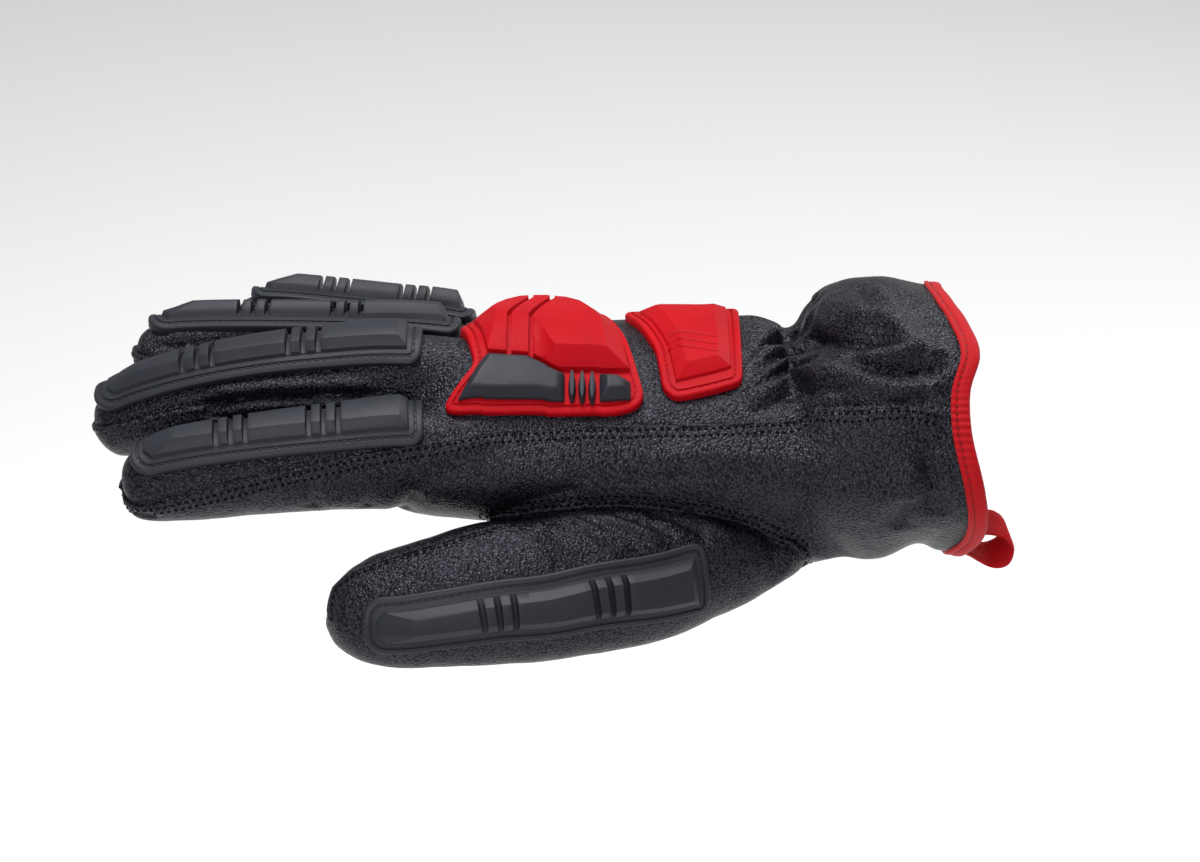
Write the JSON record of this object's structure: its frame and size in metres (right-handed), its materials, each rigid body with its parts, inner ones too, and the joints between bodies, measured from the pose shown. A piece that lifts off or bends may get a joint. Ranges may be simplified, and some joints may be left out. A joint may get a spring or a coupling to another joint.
{
  "type": "leather impact work glove",
  "caption": "Right-hand leather work glove with rubber impact guards on fingers, thumb, knuckles and back, bound flared cuff and webbing pull loop.",
  "frame": {"origin": "centre of the cuff opening, where the wrist enters", "axes": "+X out of the cuff along the forearm, so the fingers point along -X; +Z out of the back of the hand; the thumb is on the -Y side"},
  "size_m": [0.2745, 0.1358, 0.0866],
  "materials": {
    "black_leather": "pebbled, semi-matt",
    "grey_rubber": "moulded, matt",
    "red_rubber": "moulded, satin",
    "red_fabric": "woven binding and webbing"
  },
  "bodies": {
    "root": {"back_leather": "black_leather", "palm_leather": "black_leather", "thumb_leather": "black_leather", "index_guard": "grey_rubber", "middle_guard": "grey_rubber", "ring_guard": "grey_rubber", "little_guard": "grey_rubber", "thumb_guard": "grey_rubber", "insert_front": "grey_rubber", "insert_rear": "grey_rubber", "insert_fin_1": "grey_rubber", "insert_fin_2": "grey_rubber", "insert_fin_3": "grey_rubber", "knuckle_guard": "red_rubber", "back_plate": "red_rubber", "cuff_binding": "red_fabric", "pull_loop": "red_fabric"}
  },
  "joints": []
}
